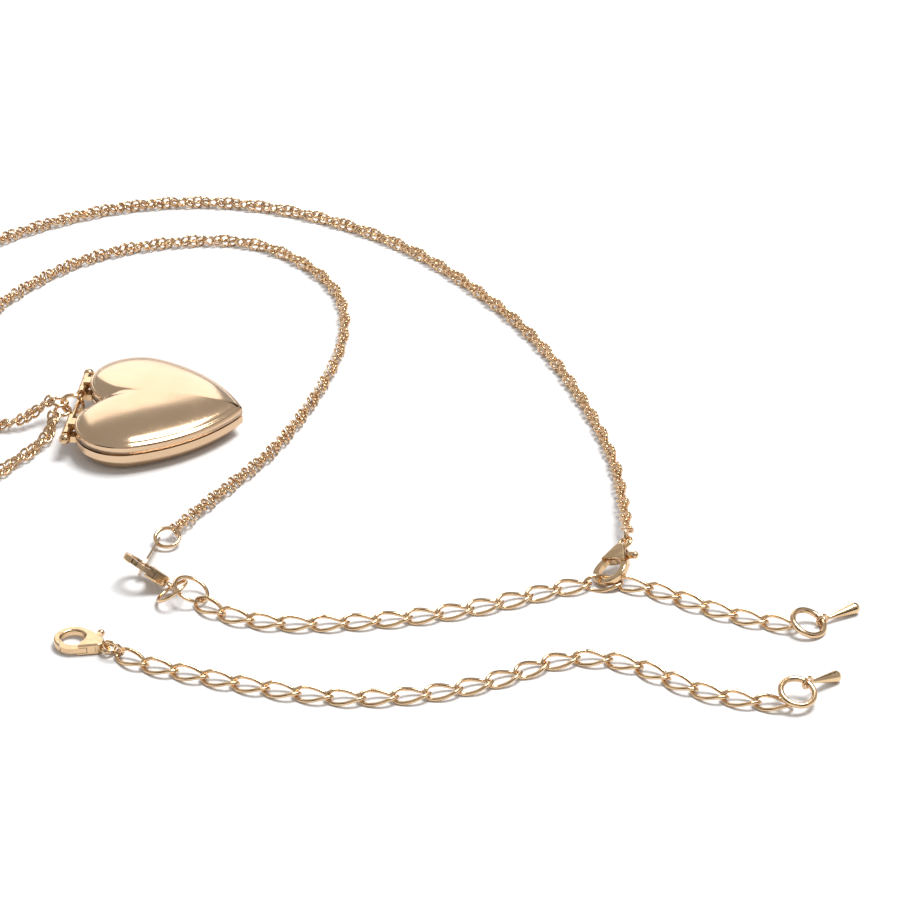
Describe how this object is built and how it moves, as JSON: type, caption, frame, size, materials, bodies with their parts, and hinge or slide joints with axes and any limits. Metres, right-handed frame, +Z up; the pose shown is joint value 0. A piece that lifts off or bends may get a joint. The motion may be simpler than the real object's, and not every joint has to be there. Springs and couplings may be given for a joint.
{
  "type": "pendant necklace",
  "caption": "Hinged heart locket on a long twisted rope chain, with lobster clasps and curb-link extenders that end in teardrop weights.",
  "frame": {"origin": "middle of the locket's flat back, on the surface that it lies on", "axes": "+X from the hinge to the heart's point, +Y across the lobes, +Z up through the locket's front"},
  "size_m": [0.1775, 0.1616, 0.0078],
  "materials": {
    "gold_polish": "pale rose-gold plating, mirror polished",
    "gold_wire": "pale rose-gold plated wire, bright",
    "gold_rope": "pale rose-gold plated rope chain",
    "gold_satin": "pale rose-gold plated sheet, brushed",
    "spring_steel": "bare spring steel",
    "clear_window": "clear acetate sheet"
  },
  "bodies": {
    "necklace": {"locket_back_shell": "gold_polish", "back_hinge_knuckles": "gold_polish", "locket_hinge_pin": "gold_polish", "locket_seat_ring": "gold_polish", "locket_snap_tab": "gold_polish", "back_photo_frame": "gold_satin", "back_photo_window": "clear_window", "locket_bail_ring": "gold_wire", "outer_rope_end_ring": "gold_wire", "inner_rope_end_ring": "gold_wire", "outer_rope_chain": "gold_rope", "inner_rope_chain": "gold_rope", "rope_clasp_ring": "gold_wire", "chain_tag_ring": "gold_wire", "chain_tag": "gold_satin", "worn_clasp_ring": "gold_wire", "worn_first_ring": "gold_wire", "spare_clasp_ring": "gold_wire", "worn_extender_links": "gold_wire", "spare_extender_links": "gold_wire", "worn_end_ring": "gold_wire", "spare_end_ring": "gold_wire", "worn_clasp_body": "gold_polish", "worn_clasp_lever_pin": "gold_polish", "worn_clasp_lever_spring": "spring_steel", "rope_clasp_body": "gold_polish", "rope_clasp_lever_pin": "gold_polish", "rope_clasp_lever_spring": "spring_steel", "spare_clasp_body": "gold_polish", "spare_clasp_lever_pin": "gold_polish", "spare_clasp_lever_spring": "spring_steel"},
    "cover": {"locket_front_shell": "gold_polish", "front_hinge_knuckles": "gold_polish", "front_photo_frame": "gold_satin", "front_photo_window": "clear_window"},
    "worn_lever": {"worn_clasp_lever": "gold_polish"},
    "rope_lever": {"rope_clasp_lever": "gold_polish"},
    "spare_lever": {"spare_clasp_lever": "gold_polish"},
    "worn_drop": {"worn_drop": "gold_polish"},
    "spare_drop": {"spare_drop": "gold_polish"}
  },
  "joints": [
    {"name": "cover_hinge", "type": "hinge", "parent": "necklace", "child": "cover", "pos_m": [-0.0139, 0, 0.0038], "axis": [0, -1, 0], "range_deg": [0, 120]},
    {"name": "worn_lever_pivot", "type": "hinge", "parent": "necklace", "child": "worn_lever", "pos_m": [0.00774, -0.04876, 0.00275], "axis": [-0.5027, -0.4875, -0.7139], "range_deg": [0, 24], "stiffness_Nm_per_rad": 0.0006, "springref_deg": -20.05},
    {"name": "rope_lever_pivot", "type": "hinge", "parent": "necklace", "child": "rope_lever", "pos_m": [0.08049, -0.03636, 0.00271], "axis": [-0.4915, -0.1639, 0.8553], "range_deg": [0, 8], "stiffness_Nm_per_rad": 0.0006, "springref_deg": -20.05},
    {"name": "spare_lever_pivot", "type": "hinge", "parent": "necklace", "child": "spare_lever", "pos_m": [0.00054, -0.06692, 0.001], "axis": [0, 0, -1], "range_deg": [0, 24], "stiffness_Nm_per_rad": 0.0006, "springref_deg": -20.05},
    {"name": "worn_drop_swing", "type": "hinge", "parent": "necklace", "child": "worn_drop", "pos_m": [0.11361, -0.04837, 0.00103], "axis": [0, 0, 1], "range_deg": [-15, 15]},
    {"name": "spare_drop_swing", "type": "hinge", "parent": "necklace", "child": "spare_drop", "pos_m": [0.11176, -0.0681, 0.00265], "axis": [0, 0, 1], "range_deg": [-8, 20]}
  ]
}
